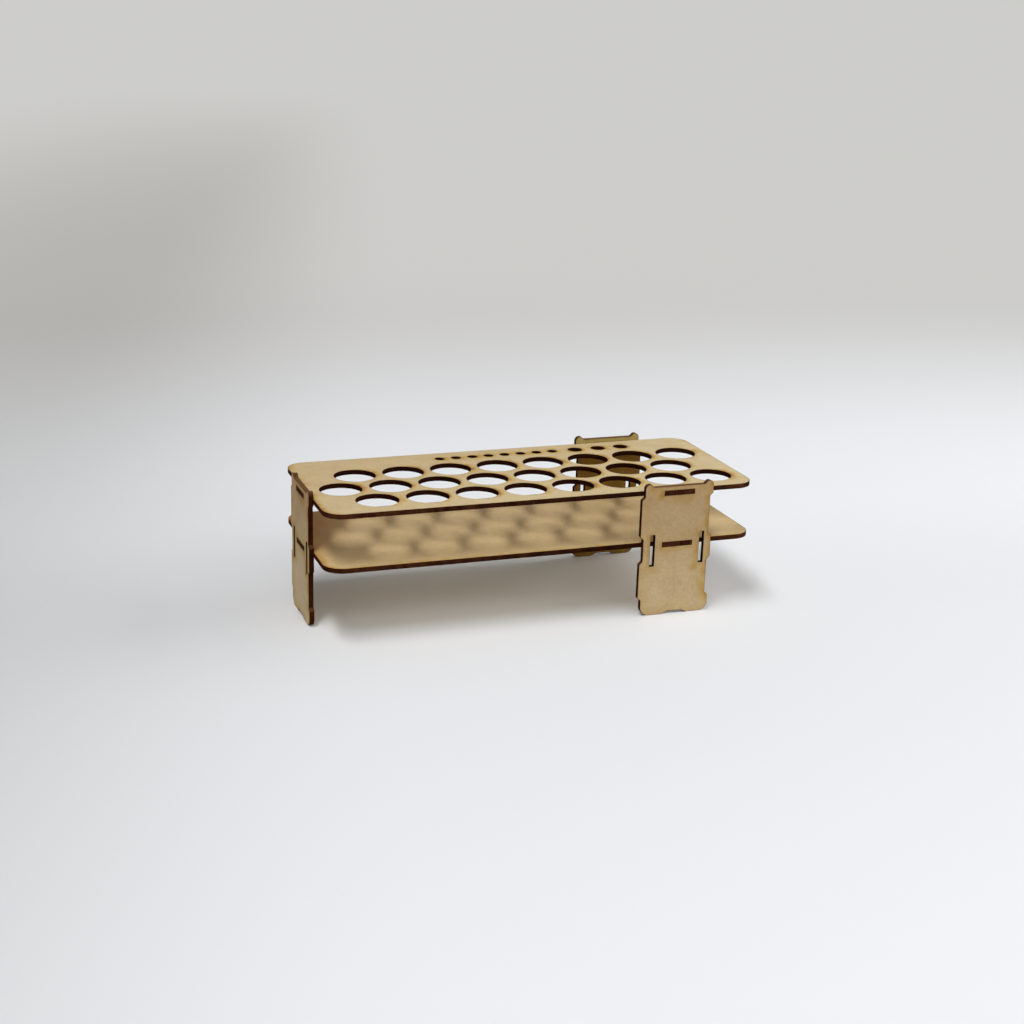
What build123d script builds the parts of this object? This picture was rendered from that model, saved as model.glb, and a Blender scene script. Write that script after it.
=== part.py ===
"""A two-tier paint shelf for dropper bottles and brushes, cut from thin board.

Two shelves hang between three upright legs. Each shelf has three tabs, and each tab sits in a slot
of a leg, with no glue and no fasteners. Bottles drop through the round holes of the upper shelf and
stand on the lower one. All sizes are in millimetres. +X runs to the right along the shelves, +Y to
the back and +Z up. The origin is the middle of the footprint, on the surface that the feet stand on.
"""

from build123d import *
import os
from math import sqrt

os.makedirs("parts", exist_ok=True)

# Board and joints
board = 3.0             # thickness of every piece
tab_length = 20.0       # along the shelf's edge
tab_play = 0.05         # gap between a tab's faces and its slot, above and below
tab_end_play = 0.15     # gap at each end of a tab

# Bottle holes
bottle_hole = 26.0      # across each hole
row_gap = 5.25          # board left between two holes of one row
stagger_gap = 5.0       # board left between holes of neighbouring rows
bottles_per_row = 8
end_margin = 20.8       # from the outermost hole centres to the shelf's ends
front_margin = 22.7     # from the front row's centres to the front edge
back_margin = 37.3      # from the back row's centres to the back edge
corner_radius = 12.0

# Brush holes, in one line behind the bottles
thin_hole = 6.2
thin_pitch = 11.1
thin_count = 8
wide_hole = 9.5
wide_pitch = 16.3
wide_count = 3
brush_margin = 13.2     # from the line's centres to the back edge

# Heights
under_clearance = 44.5  # from the table to the lower shelf's underside
shelf_gap = 30.25       # clear height between the shelves
ear_rise = 4.75         # ear tips above the upper shelf's top face

# Legs
pair_inset = 54.0       # from the shelf's right end to the middle of the front and rear legs
end_leg_offset = 55.5   # from the shelf's front edge to the middle of the left leg
leg_width = 46.0
sway = 2.0              # how far the body of a leg steps to one side of its foot and ears
foot_height = 11.2      # table to the middle of the step above the foot
waist_fall = 9.7        # lower shelf's underside down to the step below the waist
waist_rise = 6.5        # lower shelf's underside up to the step above the waist
ear_drop = 4.35         # upper shelf's top face down to the step below the ears
step_round = 0.8        # corner radius of each step
ear_width = 6.0
ear_flank = 2.2         # width of an ear's sloping inner side
ear_dip = 2.0           # ear tips above the straight edge between them
ear_round = 3.0
ear_blend = 1.0
foot_round = 6.0
notch_width = 17.4      # gap between the two feet of one leg
notch_slope = 3.9       # width of the notch's sloping ends
notch_depth = 1.7
notch_blend = 2.0
link_spacing = 33.3     # between the two upright slots that take a neighbouring rack's link
link_drop = 1.95        # lower shelf's underside down to the middle of the link slots

# Worked out from the sizes above
pitch = bottle_hole + row_gap
row_step = sqrt((bottle_hole + stagger_gap) ** 2 - (pitch / 2) ** 2)
shelf_length = (bottles_per_row - 0.5) * pitch + 2 * end_margin
shelf_depth = front_margin + 2 * row_step + back_margin
middle_row = front_margin + row_step - shelf_depth / 2
brush_line = shelf_depth / 2 - brush_margin
lower_level = under_clearance
upper_level = lower_level + board + shelf_gap
leg_height = upper_level + board + ear_rise
slot_length = tab_length + 2 * tab_end_play
slot_width = board + 2 * tab_play

# The left leg stands outside the shelves' end, so the shelves sit half a board to the right.
shelf_middle = board / 2
pair_x = shelf_length / 2 - pair_inset
end_leg_y = end_leg_offset - shelf_depth / 2


def shelf_outline():
    """Draws a rounded shelf with its three tabs, around the shelf's own middle."""
    RectangleRounded(shelf_length, shelf_depth, corner_radius)
    with Locations((-shelf_length / 2, end_leg_y)):
        Rectangle(2 * board, tab_length)
    with Locations((pair_x, -shelf_depth / 2), (pair_x, shelf_depth / 2)):
        Rectangle(tab_length, 2 * board)


def leg_side(side):
    """Corners and radii of half a leg's outline seen from outside, from its notch over the foot to the ear.

    Places run across from the slots' middle line, with side -1 to the left and 1 to the right, and up
    from the table. Both sides step to the left together.
    """
    edge = side * leg_width / 2
    body = edge - sway
    steps = [
        (foot_height, edge, body),
        (lower_level - waist_fall, body, edge),
        (lower_level + waist_rise, edge, body),
        (upper_level + board - ear_drop, body, edge),
    ]
    corners = [
        (side * (notch_width / 2 - notch_slope), notch_depth, notch_blend),
        (side * notch_width / 2, 0, notch_blend),
        (edge, 0, foot_round),
    ]
    for height, below, above in steps:
        corners.append((below, height - sway / 2, step_round))
        corners.append((above, height + sway / 2, step_round))
    corners += [
        (edge, leg_height, ear_round),
        (edge - side * (ear_width - ear_flank), leg_height, ear_blend),
        (edge - side * ear_width, leg_height - ear_dip, ear_blend),
    ]
    return corners


# The upper shelf: three staggered rows of bottle holes, and a line of brush holes behind them.
with BuildPart() as upper_shelf:
    with BuildSketch(Plane((shelf_middle, 0, upper_level))):
        shelf_outline()
        with Locations((pitch / 4, middle_row)):
            with GridLocations(pitch, 2 * row_step, bottles_per_row, 2):
                Circle(bottle_hole / 2, mode=Mode.SUBTRACT)
        with Locations((-pitch / 4, middle_row)):
            with GridLocations(pitch, row_step, bottles_per_row, 1):
                Circle(bottle_hole / 2, mode=Mode.SUBTRACT)
        with Locations((0, brush_line)):
            with GridLocations(thin_pitch, thin_pitch, thin_count, 1):
                Circle(thin_hole / 2, mode=Mode.SUBTRACT)
        last_thin = (thin_count - 1) * thin_pitch / 2
        with Locations([(last_thin + wide_pitch * (i + 1), brush_line) for i in range(wide_count)]):
            Circle(wide_hole / 2, mode=Mode.SUBTRACT)
    extrude(amount=board)
upper_shelf.part.label = "upper_shelf"
export_step(upper_shelf.part, "parts/upper_shelf.step")

# The lower shelf: the same outline with no holes. The bottles stand on it.
with BuildPart() as lower_shelf:
    with BuildSketch(Plane((shelf_middle, 0, lower_level))):
        shelf_outline()
    extrude(amount=board)
lower_shelf.part.label = "lower_shelf"
export_step(lower_shelf.part, "parts/lower_shelf.step")

# Three equal legs. Each stands flat against an edge of both shelves and faces away from them.
leg_places = {
    "left_leg": Plane((shelf_middle - shelf_length / 2, end_leg_y, 0), x_dir=(0, -1, 0), z_dir=(-1, 0, 0)),
    "front_leg": Plane((shelf_middle + pair_x, -shelf_depth / 2, 0), x_dir=(1, 0, 0), z_dir=(0, -1, 0)),
    "rear_leg": Plane((shelf_middle + pair_x, shelf_depth / 2, 0), x_dir=(-1, 0, 0), z_dir=(0, 1, 0)),
}
corners = leg_side(1) + leg_side(-1)[::-1]
for name, place in leg_places.items():
    with BuildPart() as leg:
        with BuildSketch(place):
            with BuildLine():
                FilletPolyline([(x, z) for x, z, _ in corners], radius=[r for _, _, r in corners], close=True)
            make_face()
            with Locations((0, lower_level + board / 2), (0, upper_level + board / 2)):
                Rectangle(slot_length, slot_width, mode=Mode.SUBTRACT)
            with Locations((0, lower_level - link_drop)):
                with GridLocations(link_spacing, link_spacing, 2, 1):
                    Rectangle(slot_width, slot_length, mode=Mode.SUBTRACT)
        extrude(amount=board)
    leg.part.label = name
    export_step(leg.part, f"parts/{name}.step")
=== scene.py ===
# A two-tier paint shelf: two fibreboard shelves held between three slotted legs.
# All sizes are in metres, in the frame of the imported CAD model.

from math import radians

import bmesh
import bpy
from mathutils import Matrix, Vector
from mathutils.bvhtree import BVHTree


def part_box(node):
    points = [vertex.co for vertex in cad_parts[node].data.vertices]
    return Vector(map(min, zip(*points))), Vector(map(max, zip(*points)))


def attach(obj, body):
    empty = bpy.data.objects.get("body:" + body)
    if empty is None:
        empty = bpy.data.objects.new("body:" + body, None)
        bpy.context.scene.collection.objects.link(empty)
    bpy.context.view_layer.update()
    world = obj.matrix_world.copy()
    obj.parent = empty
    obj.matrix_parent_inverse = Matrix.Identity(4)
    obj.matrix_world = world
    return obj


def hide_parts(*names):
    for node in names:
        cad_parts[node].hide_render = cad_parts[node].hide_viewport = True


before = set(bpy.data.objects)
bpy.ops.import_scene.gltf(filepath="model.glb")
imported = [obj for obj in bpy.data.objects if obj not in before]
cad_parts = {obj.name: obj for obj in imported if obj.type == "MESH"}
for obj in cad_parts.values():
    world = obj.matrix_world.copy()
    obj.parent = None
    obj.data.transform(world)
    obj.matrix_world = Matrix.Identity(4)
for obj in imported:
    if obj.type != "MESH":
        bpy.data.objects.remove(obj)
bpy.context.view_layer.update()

# The two shelves
# Boards of raw 3 mm fibreboard, cut by laser. The upper one has 24 bottle holes and 11 brush holes,
# the lower one is plain, and the three tabs of each push into slots in the legs with no glue.

MM = 0.001
FACE, WALL, BACK = 0, 1, 2              # the material slots of a board: its face, its cut edges, its back
RIM_EASE = 0.12 * MM                    # a laser leaves the rim of a cut just short of sharp
RIM_LOOPS = (0.25 * MM, 0.25 * MM)      # loops of points beside each cut, which fit inside its 0.8 mm corners
SHELF_GRID = 3 * MM                     # between points across the faces, which keep the distance to the cuts
MERGE_GAP = 0.002 * MM                  # nearer than this, points of the CAD mesh are one
SLICE_GAP = 0.02 * MM                   # nearer than this, a slice of the grid passes through a point

# What the laser leaves: ochre smoke that is brown where it is thick, a scorched line, black char; and a pale
# brown painted sheen on edges that face up
THIN_SMOKE, THICK_SMOKE = "#EDD230", "#C07C34"
SCORCH, CHAR, PAINTED_SHEEN_TONE = "#5A3318", "#1F0B06", "#6E5138"
FIBREBOARD_IOR = 1.48                   # about that of cellulose


def linear(colour):
    """An sRGB hex colour as linear RGBA."""
    parts = [int(colour[i:i + 2], 16) / 255 for i in (1, 3, 5)]
    return [c / 12.92 if c <= 0.04045 else ((c + 0.055) / 1.055) ** 2.4 for c in parts] + [1]


def add(tree, kind, inputs=None, **settings):
    """Adds a node with its settings, and sets or links each input."""
    node = tree.nodes.new(kind)
    for name, value in settings.items():
        setattr(node, name, value)
    for socket, value in (inputs or {}).items():
        if isinstance(value, bpy.types.NodeSocket):
            tree.links.new(value, node.inputs[socket])
        else:
            node.inputs[socket].default_value = value
    return node


def new_material(name):
    """A material that has no nodes yet, and its node tree."""
    material = bpy.data.materials.new(name)
    material.use_nodes = True
    material.node_tree.nodes.clear()
    return material, material.node_tree


def fibreboard(name, pale, deep, amount, reach, smoke_and_shade):
    """Thin hardboard or MDF as it comes from the press: sanded wood fibres, matt, cloudy from place to place
    and finely speckled. The smoke of the laser turns it ochre next to the cuts, in blotches: amount is how
    strongly, up to 1, and reach is how far. The beam leaves a thin scorched line along each rim, wider where
    it slowed down. The last argument browns the board more and more along its direction: smoke on some
    boards, painted shade on others."""
    material, tree = new_material(name)
    place = add(tree, "ShaderNodeTexCoord").outputs["Object"]

    # Clouds, specks and single fibres of wood mix two shades of the board.
    clouds, specks, fibres = 16 * MM, 1.6 * MM, 0.7 * MM
    cloud = add(tree, "ShaderNodeTexNoise",
                {"Vector": place, "Scale": 1 / clouds, "Detail": 3.0, "Roughness": 0.55})
    mottle = add(tree, "ShaderNodeTexNoise",
                 {"Vector": place, "Scale": 1 / specks, "Detail": 3.0, "Roughness": 0.6, "Distortion": 0.6})
    fibre = add(tree, "ShaderNodeTexNoise",
                {"Vector": place, "Scale": 1 / fibres, "Detail": 2.0, "Distortion": 2.2})
    tone = add(tree, "ShaderNodeMath", {0: cloud.outputs["Fac"], 1: 0.5, 2: 0.25}, operation="MULTIPLY_ADD")
    tone = add(tree, "ShaderNodeMath",
               {0: mottle.outputs["Fac"], 1: 0.6, 2: tone.outputs[0]}, operation="MULTIPLY_ADD")
    tone = add(tree, "ShaderNodeMath",
               {0: fibre.outputs["Fac"], 1: 0.4, 2: tone.outputs[0]}, operation="MULTIPLY_ADD")
    shade = add(tree, "ShaderNodeMapRange", {"Value": tone.outputs[0], "From Min": 0.76, "From Max": 1.24})
    board = add(tree, "ShaderNodeMix",
                {0: shade.outputs["Result"], 6: linear(deep), 7: linear(pale)}, data_type="RGBA")

    # Browning along one direction over the whole board: smoke on some boards, painted shade on others
    along = add(tree, "ShaderNodeVectorMath", {0: place, 1: smoke_and_shade["direction"]}, operation="DOT_PRODUCT")
    browning = add(tree, "ShaderNodeMapRange",
               {"Value": along.outputs["Value"], "From Min": smoke_and_shade["start"], "From Max": smoke_and_shade["end"],
                "To Min": 0.0, "To Max": smoke_and_shade["strength"]}, interpolation_type="SMOOTHSTEP")
    board = add(tree, "ShaderNodeMix",
                {0: browning.outputs["Result"], 6: board.outputs[2], 7: linear(smoke_and_shade["colour"])},
                data_type="RGBA", blend_type="MULTIPLY")

    # The ochre smoke next to the cuts, which turns brown where it is thickest
    blotches = 9 * MM
    gap = add(tree, "ShaderNodeAttribute", attribute_name="cut_distance")
    drift = add(tree, "ShaderNodeAttribute", attribute_name="smoke_drift")
    blotch = add(tree, "ShaderNodeTexNoise",
                 {"Vector": place, "Scale": 1 / blotches, "Detail": 2.0, "Roughness": 0.5})
    edge = add(tree, "ShaderNodeMapRange",
               {"Value": blotch.outputs["Fac"], "From Min": 0.35, "From Max": 0.7,
                "To Min": 0.5 * reach, "To Max": 1.4 * reach})
    halo = add(tree, "ShaderNodeMapRange",
               {"Value": gap.outputs["Fac"], "From Min": 0.0, "From Max": edge.outputs["Result"],
                "To Min": 1.0, "To Max": 0.0}, interpolation_type="SMOOTHSTEP")
    depth = add(tree, "ShaderNodeMapRange",
                {"Value": blotch.outputs["Fac"], "From Min": 0.3, "From Max": 0.65,
                 "To Min": 0.55 * amount, "To Max": amount})
    smoked = add(tree, "ShaderNodeMath",
                 {0: halo.outputs["Result"], 1: depth.outputs["Result"]}, operation="MULTIPLY")
    smoked = add(tree, "ShaderNodeMath",
                 {0: smoked.outputs[0], 1: drift.outputs["Fac"]}, operation="MULTIPLY")
    burnt = add(tree, "ShaderNodeMath", {0: smoked.outputs[0], 1: 4.0}, operation="POWER")
    ochre = add(tree, "ShaderNodeMix",
                {0: burnt.outputs[0], 6: linear(THIN_SMOKE), 7: linear(THICK_SMOKE)}, data_type="RGBA")
    stained = add(tree, "ShaderNodeMix",
                  {0: smoked.outputs[0], 6: board.outputs[2], 7: ochre.outputs[2]},
                  data_type="RGBA", blend_type="MULTIPLY")

    # The scorched line along each rim
    slow_spots, rim_start, thin_rim, wide_rim = 5 * MM, 0.05 * MM, 0.38 * MM, 0.9 * MM
    dwell = add(tree, "ShaderNodeTexNoise", {"Vector": place, "Scale": 1 / slow_spots, "Detail": 1.0})
    width = add(tree, "ShaderNodeMapRange",
                {"Value": dwell.outputs["Fac"], "From Min": 0.6, "From Max": 0.68,
                 "To Min": thin_rim, "To Max": wide_rim}, interpolation_type="SMOOTHSTEP")
    rim = add(tree, "ShaderNodeMapRange",
              {"Value": gap.outputs["Fac"], "From Min": rim_start, "From Max": width.outputs["Result"],
               "To Min": 0.6, "To Max": 0.0}, interpolation_type="SMOOTHSTEP")
    colour = add(tree, "ShaderNodeMix",
                 {0: rim.outputs["Result"], 6: stained.outputs[2], 7: linear(SCORCH)}, data_type="RGBA")

    # The fibres stand out of the sanded face by a few hundredths of a millimetre.
    relief = add(tree, "ShaderNodeBump", {"Height": tone.outputs[0], "Strength": 0.35, "Distance": 0.05 * MM})
    surface = add(tree, "ShaderNodeBsdfPrincipled",
                  {"Base Color": colour.outputs[2], "Roughness": 0.75, "IOR": FIBREBOARD_IOR,
                   "Normal": relief.outputs["Normal"]})
    add(tree, "ShaderNodeOutputMaterial", {"Surface": surface.outputs["BSDF"]})
    return material


def charred_edge(through, brown):
    """The wall of a laser cut: fibreboard charred to a matt, nearly black brown, in fine stripes that run
    straight through the board, with browner patches where the beam moved faster. Edges that face up get a
    painted sheen, a paler brown that stands in for light glancing off them. Through is the axis that runs
    through the board."""
    material, tree = new_material(f"laser_charred_edge_{'xyz'[through]}")
    place = add(tree, "ShaderNodeTexCoord").outputs["Object"]

    # The beam's stripes, drawn out through the board, and the browner patches
    stripe_width, patch_size = 0.45 * MM, 7 * MM
    stretch = [1.0, 1.0, 1.0]
    stretch[through] = 0.06
    along = add(tree, "ShaderNodeMapping", {"Vector": place, "Scale": stretch})
    stripes = add(tree, "ShaderNodeTexNoise",
                  {"Vector": along.outputs["Vector"], "Scale": 1 / stripe_width,
                   "Detail": 3.0, "Roughness": 0.6})
    patches = add(tree, "ShaderNodeTexNoise", {"Vector": place, "Scale": 1 / patch_size, "Detail": 2.0})
    burn = add(tree, "ShaderNodeMath", {0: stripes.outputs["Fac"], 1: 0.5}, operation="MULTIPLY")
    burn = add(tree, "ShaderNodeMath",
               {0: patches.outputs["Fac"], 1: 0.5, 2: burn.outputs[0]}, operation="MULTIPLY_ADD")
    tone = add(tree, "ShaderNodeMapRange", {"Value": burn.outputs[0], "From Min": 0.35, "From Max": 0.65})

    # The walls of holes and slots are made nearly black, darker than the outer edges.
    enclosed = add(tree, "ShaderNodeAttribute", attribute_name="enclosed")
    pale = add(tree, "ShaderNodeMath",
               {0: enclosed.outputs["Fac"], 1: -0.85, 2: 1.0}, operation="MULTIPLY_ADD")
    tone = add(tree, "ShaderNodeMath", {0: tone.outputs["Result"], 1: pale.outputs[0]}, operation="MULTIPLY")
    colour = add(tree, "ShaderNodeMix",
                 {0: tone.outputs[0], 6: linear(CHAR), 7: linear(brown)}, data_type="RGBA")
    # Edges that face up, outside holes and slots, are mixed towards a pale brown: a painted sheen for light
    # glancing off them.
    painted_sheen = add(tree, "ShaderNodeAttribute", attribute_name="painted_sheen")
    painted_sheen = add(tree, "ShaderNodeMath", {0: painted_sheen.outputs["Fac"], 1: 0.85}, operation="MULTIPLY")
    with_painted_sheen = add(tree, "ShaderNodeMix",
                 {0: painted_sheen.outputs[0], 6: colour.outputs[2], 7: linear(PAINTED_SHEEN_TONE)}, data_type="RGBA")

    relief = add(tree, "ShaderNodeBump",
                 {"Height": stripes.outputs["Fac"], "Strength": 0.5, "Distance": 0.08 * MM})
    surface = add(tree, "ShaderNodeBsdfPrincipled",
                  {"Base Color": with_painted_sheen.outputs[2], "Roughness": 0.85, "IOR": FIBREBOARD_IOR,
                   "Specular IOR Level": 0.01, "Normal": relief.outputs["Normal"]})
    add(tree, "ShaderNodeOutputMaterial", {"Surface": surface.outputs["BSDF"]})
    return material


def laser_cut_board(name, through, grid, drift, stray, slow):
    """A copy of a CAD board with eased rims. Through is the axis that runs through the board. Each point of
    its faces keeps the distance to the nearest cut, and how much smoke the cutter's air drove over it,
    mostly along drift. The rest strays, and more of it between the two values of y where the cutter was
    slow, if they differ. Each point of its edges keeps whether it is in a hole or slot, and how much
    painted sheen it gets where it faces up."""
    slow_stray = 0.7                    # the share that strays where the cutter was slow
    off_wall = 0.2 * MM                 # the look across to an opposite wall starts this far from a point
    bm = bmesh.new()
    bm.from_mesh(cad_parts[name].data)
    bmesh.ops.remove_doubles(bm, verts=bm.verts, dist=MERGE_GAP)
    for face in bm.faces:
        face.material_index = FACE if abs(face.normal[through]) > 0.99 else WALL
    walls = [f for f in bm.faces if f.material_index == WALL]
    bmesh.ops.join_triangles(bm, faces=walls, angle_face_threshold=radians(1),
                             angle_shape_threshold=radians(180))
    rims = [e for e in bm.edges if len({f.material_index for f in e.link_faces}) == 2]
    eased = bmesh.ops.bevel(bm, geom=rims, offset=RIM_EASE, segments=3, profile=0.5, affect="EDGES",
                            material=-1, clamp_overlap=False)
    for face in eased["faces"]:
        face.material_index = WALL

    # Points across the faces: loops that follow each cut, then a grid
    inner = [f for f in bm.faces if f.material_index == FACE]
    for loop in RIM_LOOPS:
        bmesh.ops.inset_region(bm, faces=inner, thickness=loop, use_even_offset=True, use_boundary=True)
    low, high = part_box(name)
    edges = [e for f in inner for e in f.edges]
    points = [v for f in inner for v in f.verts]
    patch = list(dict.fromkeys(edges + points)) + inner
    for axis in (a for a in (0, 1, 2) if a != through):
        across = Vector([float(i == axis) for i in range(3)])
        for i in range(1, int((high[axis] - low[axis]) / grid)):
            patch = bmesh.ops.bisect_plane(bm, geom=patch, dist=SLICE_GAP, plane_no=across,
                                           plane_co=across * (low[axis] + grid * i))["geom"]

    # What each point keeps for the materials
    skin = bm.copy()
    bmesh.ops.delete(skin, geom=[f for f in skin.faces if f.material_index == FACE], context="FACES_ONLY")
    cuts = BVHTree.FromBMesh(skin)
    skin.free()
    distance = bm.verts.layers.float.new("cut_distance")
    smoke = bm.verts.layers.float.new("smoke_drift")
    enclosed = bm.verts.layers.float.new("enclosed")
    painted_sheen = bm.verts.layers.float.new("painted_sheen")
    for vert in bm.verts:
        cut, normal, _, gap = cuts.find_nearest(vert.co)
        vert[distance] = gap
        away = (vert.co - cut).normalized().dot(Vector(drift))
        around = slow_stray if slow[0] < cut.y < slow[1] else stray
        vert[smoke] = around + (1 - around) * max(0.0, away)
        normal[through] = 0.0           # straight out of the wall, also on an eased rim
        vert[enclosed] = float(cuts.ray_cast(vert.co + normal * off_wall, normal)[0] is not None)
        # A painted sheen on edges that face up, but not inside holes and slots
        vert[painted_sheen] = max(0.0, normal.z) ** 2 * (1 - vert[enclosed])
    for face in bm.faces:
        face.smooth = face.material_index == WALL

    mesh = bpy.data.meshes.new(name + "_board")
    bm.to_mesh(mesh)
    bm.free()
    mesh.set_sharp_from_angle(angle=radians(35))
    board = bpy.data.objects.new(name + "_board", mesh)
    bpy.context.scene.collection.objects.link(board)
    return board


shelf_edge = charred_edge(through=2, brown="#512D19")
brush_line = (37 * MM, 50 * MM)         # where the cutter was slow, at the small brush holes

# The upper shelf's underside lay on the cutter's bed, where the trapped smoke browned it all over.
smoke_and_shade = dict(colour="#E7CB89", direction=(0.5, 0.8, 0), start=-150 * MM, end=150 * MM, strength=0.3)
shelf_back = fibreboard("smoked_fibreboard_shelf", "#C69A42", "#AE8434", amount=0.6, reach=5 * MM, smoke_and_shade=smoke_and_shade)

# For each shelf: the drift of the smoke, the board's pale and deep shades, and how it browns along one
# direction
for name, drift, pale, deep, smoke_and_shade in (
        # The lower shelf browns towards its left end by the left leg: partly smoke, partly painted shade
        # where the upper shelf and the left leg keep the light off.
        ("lower_shelf", (0.8, 0.6, 0), "#D4BD8D", "#BDA272",
         dict(colour="#D6AF60", direction=(-0.9, 0.4, 0), start=94 * MM, end=126 * MM, strength=0.9)),
        # The upper shelf is a little browner towards its back left.
        ("upper_shelf", (1.12, 0.08, 0), "#CFBE94", "#BCA379",
         dict(colour="#ECE0D2", direction=(-0.45, 0.9, 0), start=-50 * MM, end=80 * MM, strength=0.6))):
    shelf = laser_cut_board(name, through=2, grid=SHELF_GRID, drift=drift, stray=0.06, slow=brush_line)
    shelf_face = fibreboard("raw_fibreboard_" + name, pale, deep, amount=1.0, reach=5.5 * MM, smoke_and_shade=smoke_and_shade)
    shelf.data.materials.append(shelf_face)
    shelf.data.materials.append(shelf_edge)
    if name == "upper_shelf":
        shelf.data.materials.append(shelf_back)
        for face in shelf.data.polygons:
            if face.material_index == FACE and face.normal.z < 0:
                face.material_index = BACK
    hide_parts(name)
    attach(shelf, "root")

# The three legs
# Equal boards of the same fibreboard, one outside the shelves' left end and one each at the front
# and the back. The shelves' tabs fill the two level slots, and the upright slots stay free for links.

LEG_GRID = 2 * MM                       # finer than the shelves', for the small steps and slots

leg_edges = [charred_edge(through, brown="#42200D") for through in (0, 1)]

# The outer side faced up in the cutter. It is painted a little browner towards the top: painted shade, as
# less light from the floor reaches the top.
smoke_and_shade = dict(colour="#E7DFD6", direction=(0, 0, 1), start=5 * MM, end=75 * MM, strength=1.0)
leg_face = fibreboard("raw_fibreboard_leg", "#C6AF86", "#AC9267", amount=0.9, reach=8 * MM, smoke_and_shade=smoke_and_shade)
# The left leg's outer side is a paler copy of the same board: painted light, for light the lamps give too
# little of on that side. Its painted shade towards the top is a little stronger.
smoke_and_shade = dict(colour="#E1D3BC", direction=(0, 0, 1), start=5 * MM, end=78 * MM, strength=1.0)
painted_lighter_end_leg_face = fibreboard("raw_fibreboard_end_leg_painted_lighter", "#CFBA93", "#B49C71", amount=1.0, reach=8 * MM, smoke_and_shade=smoke_and_shade)

# The inner side lay on the cutter's bed, where the smoke browned it. Below the upper shelf it is painted
# darker and more ochre still: painted shade under the shelf, which leaves the ears at the top paler.
smoke_and_shade = dict(colour="#D8B54D", direction=(0, 0, -1), start=-82 * MM, end=-76 * MM, strength=1.0)
leg_back = fibreboard("smoked_fibreboard_leg_with_painted_shade", "#AC9D63", "#907F42", amount=0.4, reach=5 * MM, smoke_and_shade=smoke_and_shade)

# For each leg: the axis through its board, which way along it is out, the drift and stray of the smoke,
# and its outer side
for name, through, outward, drift, stray, face_side in (
        ("left_leg", 0, -1, (0, 0.8, -0.6), 0.6, painted_lighter_end_leg_face),
        ("front_leg", 1, -1, (-0.85, 0, -0.5), 0.3, leg_face),
        ("rear_leg", 1, 1, (0.85, 0, -0.5), 0.3, leg_face)):
    leg = laser_cut_board(name, through, LEG_GRID, drift, stray, slow=(0.0, 0.0))
    leg.data.materials.append(face_side)
    leg.data.materials.append(leg_edges[through])
    leg.data.materials.append(leg_back)
    for face in leg.data.polygons:
        if face.material_index == FACE and face.normal[through] * outward < 0:
            face.material_index = BACK
    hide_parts(name)
    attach(leg, "root")

# The studio
# A wide pale card floor, a long soft lamp high to the left, weaker ones at the right, in front and low
# behind, and faint light from all round. Far from the shelf the floor fades into the pale backdrop.

FLOOR_HALF = 30                         # metres from the middle to each side, past every view
backward, leftward = (0.105, 0.995, 0.0), (-0.964, 0.266, 0.0)

# White card is smooth and matt, with hardly a shine.
floor_card, tree = new_material("matt_white_card")
place = add(tree, "ShaderNodeTexCoord").outputs["Object"]
reach = add(tree, "ShaderNodeVectorMath", {0: place}, operation="LENGTH").outputs["Value"]
depth = add(tree, "ShaderNodeVectorMath", {0: place, 1: backward}, operation="DOT_PRODUCT").outputs["Value"]
side = add(tree, "ShaderNodeVectorMath", {0: place, 1: leftward}, operation="DOT_PRODUCT").outputs["Value"]

# Painted light and shade on the card: a little lighter just behind the shelf, then darker with the depth,
# and darker in a soft band at the left. Far off it evens out.
lift = add(tree, "ShaderNodeMapRange",
           {"Value": depth, "From Min": -0.05, "From Max": 0.2, "To Min": 1.0, "To Max": 1.09},
           interpolation_type="SMOOTHSTEP")
fall = add(tree, "ShaderNodeMapRange",
           {"Value": depth, "From Min": 0.25, "From Max": 1.0}, interpolation_type="SMOOTHSTEP")
light = add(tree, "ShaderNodeMix",
            {0: fall.outputs["Result"], 6: linear("#FFFFFF"), 7: linear("#EBE7E3")}, data_type="RGBA")
band_start = add(tree, "ShaderNodeMapRange",
                 {"Value": side, "From Min": 0.06, "From Max": 0.42}, interpolation_type="SMOOTHSTEP")
band_end = add(tree, "ShaderNodeMapRange",
               {"Value": side, "From Min": 0.42, "From Max": 1.4, "To Min": 1.0, "To Max": 0.0},
               interpolation_type="SMOOTHSTEP")
band = add(tree, "ShaderNodeMath",
           {0: band_start.outputs["Result"], 1: band_end.outputs["Result"]}, operation="MULTIPLY")
light = add(tree, "ShaderNodeMix", {0: band.outputs[0], 6: light.outputs[2], 7: linear("#E2E1DF")},
            data_type="RGBA", blend_type="MULTIPLY")
light = add(tree, "ShaderNodeVectorMath",
            {0: light.outputs[2], "Scale": lift.outputs["Result"]}, operation="SCALE")
far = add(tree, "ShaderNodeMapRange",
          {"Value": reach, "From Min": 1.0, "From Max": 5.0}, interpolation_type="SMOOTHSTEP")
light = add(tree, "ShaderNodeMix",
            {0: far.outputs["Result"], 6: light.outputs[0], 7: linear("#F5F1ED")}, data_type="RGBA")

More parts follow.
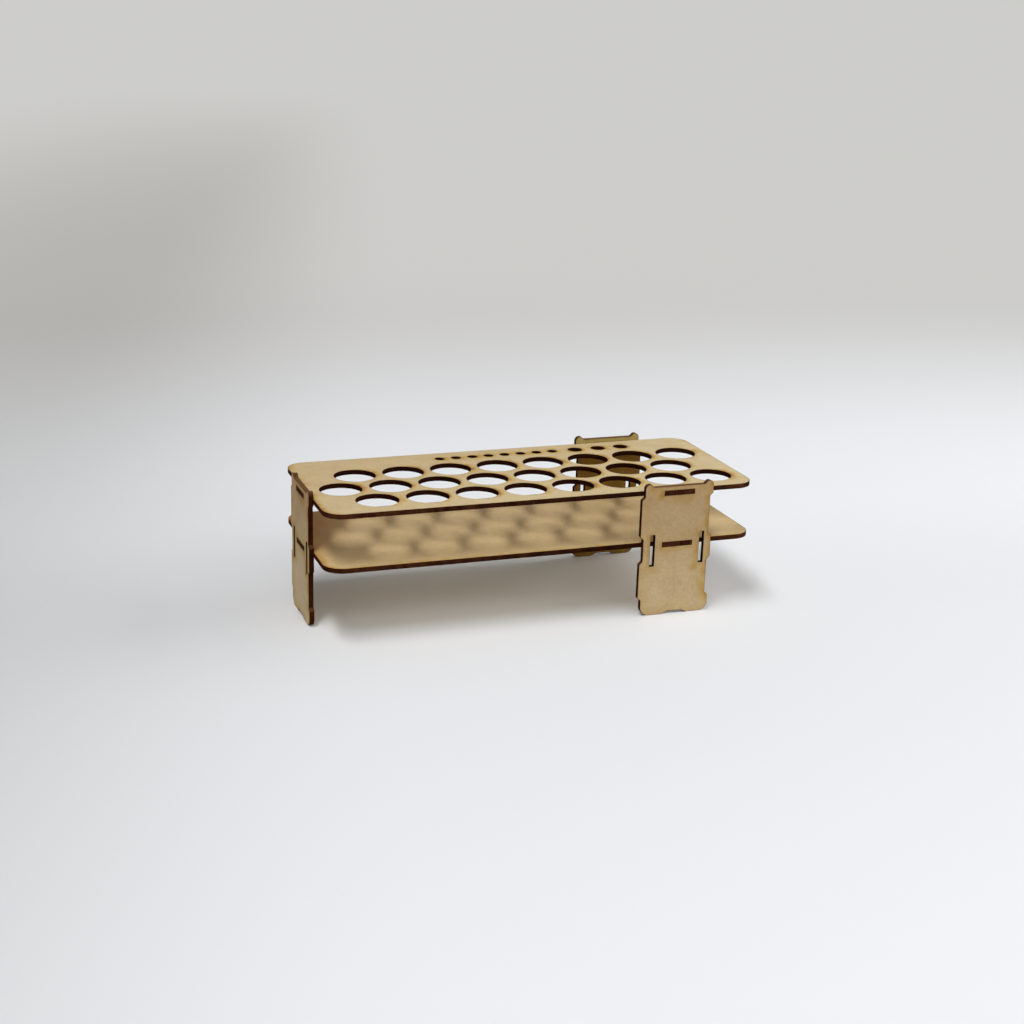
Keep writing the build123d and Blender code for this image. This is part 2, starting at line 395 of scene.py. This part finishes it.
# Only the camera sees this painted light and shade, and sees the card turn into the glow of the backdrop with
# distance, which carries the same tones, so the light that the card throws on the shelf stays even.
ray = add(tree, "ShaderNodeLightPath")
card = add(tree, "ShaderNodeMix",
           {0: ray.outputs["Is Camera Ray"], 6: linear("#E7E9EC"), 7: light.outputs[2]},
           data_type="RGBA", blend_type="MULTIPLY")
glow = add(tree, "ShaderNodeMix", {0: 1.0, 6: linear("#D6D9DA"), 7: light.outputs[2]},
           data_type="RGBA", blend_type="MULTIPLY")
surface = add(tree, "ShaderNodeBsdfPrincipled",
              {"Base Color": card.outputs[2], "Roughness": 0.8, "IOR": 1.45, "Specular IOR Level": 0.2})
backdrop = add(tree, "ShaderNodeEmission", {"Color": glow.outputs[2], "Strength": 1.0})
fade = add(tree, "ShaderNodeMapRange",
           {"Value": reach, "From Min": 0.45, "From Max": 1.3}, interpolation_type="SMOOTHSTEP")
fade = add(tree, "ShaderNodeMath",
           {0: fade.outputs["Result"], 1: ray.outputs["Is Camera Ray"]}, operation="MULTIPLY")
mixed = add(tree, "ShaderNodeMixShader",
            {0: fade.outputs[0], 1: surface.outputs["BSDF"], 2: backdrop.outputs["Emission"]})
add(tree, "ShaderNodeOutputMaterial", {"Surface": mixed.outputs["Shader"]})

bm = bmesh.new()
bmesh.ops.create_grid(bm, x_segments=1, y_segments=1, size=FLOOR_HALF)
mesh = bpy.data.meshes.new("card_floor")
bm.to_mesh(mesh)
bm.free()
mesh.materials.append(floor_card)
floor = bpy.data.objects.new("card_floor", mesh)
bpy.context.scene.collection.objects.link(floor)

# The faint light from all round is white. The camera and reflections see a pale grey wall instead.
world = bpy.data.worlds.new("studio")
world.use_nodes = True
tree = world.node_tree
tree.nodes.clear()
soft = add(tree, "ShaderNodeBackground", {"Color": linear("#FFFFFF"), "Strength": 0.074})
backdrop = add(tree, "ShaderNodeBackground", {"Color": linear("#CDCDCA"), "Strength": 1.0})
ray = add(tree, "ShaderNodeLightPath")
seen = add(tree, "ShaderNodeMath",
           {0: ray.outputs["Is Camera Ray"], 1: ray.outputs["Is Glossy Ray"]}, operation="MAXIMUM")
seen = add(tree, "ShaderNodeMath",
           {0: seen.outputs[0], 1: ray.outputs["Is Transmission Ray"]}, operation="MAXIMUM")
sky = add(tree, "ShaderNodeMixShader",
          {0: seen.outputs[0], 1: soft.outputs["Background"], 2: backdrop.outputs["Background"]})
add(tree, "ShaderNodeOutputWorld", {"Surface": sky.outputs["Shader"]})
bpy.context.scene.world = world


def softbox(name, towards, along, height, width, length, watts):
    """A rectangular lamp that faces the shelf, with its long side along the given direction. Towards runs
    from the shelf to the lamp and is 1 high."""
    data = bpy.data.lights.new(name, "AREA")
    data.shape = "RECTANGLE"
    data.size, data.size_y = width, length
    data.energy = watts
    lamp = bpy.data.objects.new(name, data)
    lamp.location = Vector(towards) * height
    out = Vector(towards).normalized()
    side = Vector(along).cross(out).normalized()
    lamp.rotation_euler = Matrix((side, out.cross(side), out)).transposed().to_euler()
    bpy.context.scene.collection.objects.link(lamp)


softbox("long_softbox", (-0.32, -0.23, 1), (0.27, 0.96, 0), height=3.0, width=0.42, length=2.2, watts=59.0)
softbox("front_softbox", (0.15, -1.5, 1), (1, 0, 0), height=0.9, width=0.9, length=1.6, watts=8.4)
softbox("right_softbox", (1.9, -0.3, 1), (0, 1, 0), height=0.9, width=1.2, length=2.4, watts=23.0)
softbox("rear_softbox", (0.1, 3.5, 1), (1, 0, 0), height=0.5, width=0.8, length=3.2, watts=5.3)

# The camera stands in front and a little to the left, looking down on the shelf, and leans slightly.
camera_data = bpy.data.cameras.new("camera")
camera_data.sensor_width = 36
camera_data.lens = 60.50
camera = bpy.data.objects.new("camera", camera_data)
aim, distance = Vector((-30.301, -76.396, 80.75)), 1006.76      # in millimetres
azimuth, elevation, lean = radians(-20.047), radians(17.4), radians(1.642)
towards = Matrix.Rotation(azimuth, 3, "Z") @ Matrix.Rotation(-elevation, 3, "X") @ Vector((0, -1, 0))
turn = towards.to_track_quat("Z", "Y").to_matrix() @ Matrix.Rotation(lean, 3, "Z")
camera.matrix_world = Matrix.Translation(aim * MM + towards * distance * MM) @ turn.to_4x4()
bpy.context.scene.collection.objects.link(camera)
bpy.context.scene.camera = camera

bpy.context.scene.view_settings.view_transform = "Standard"
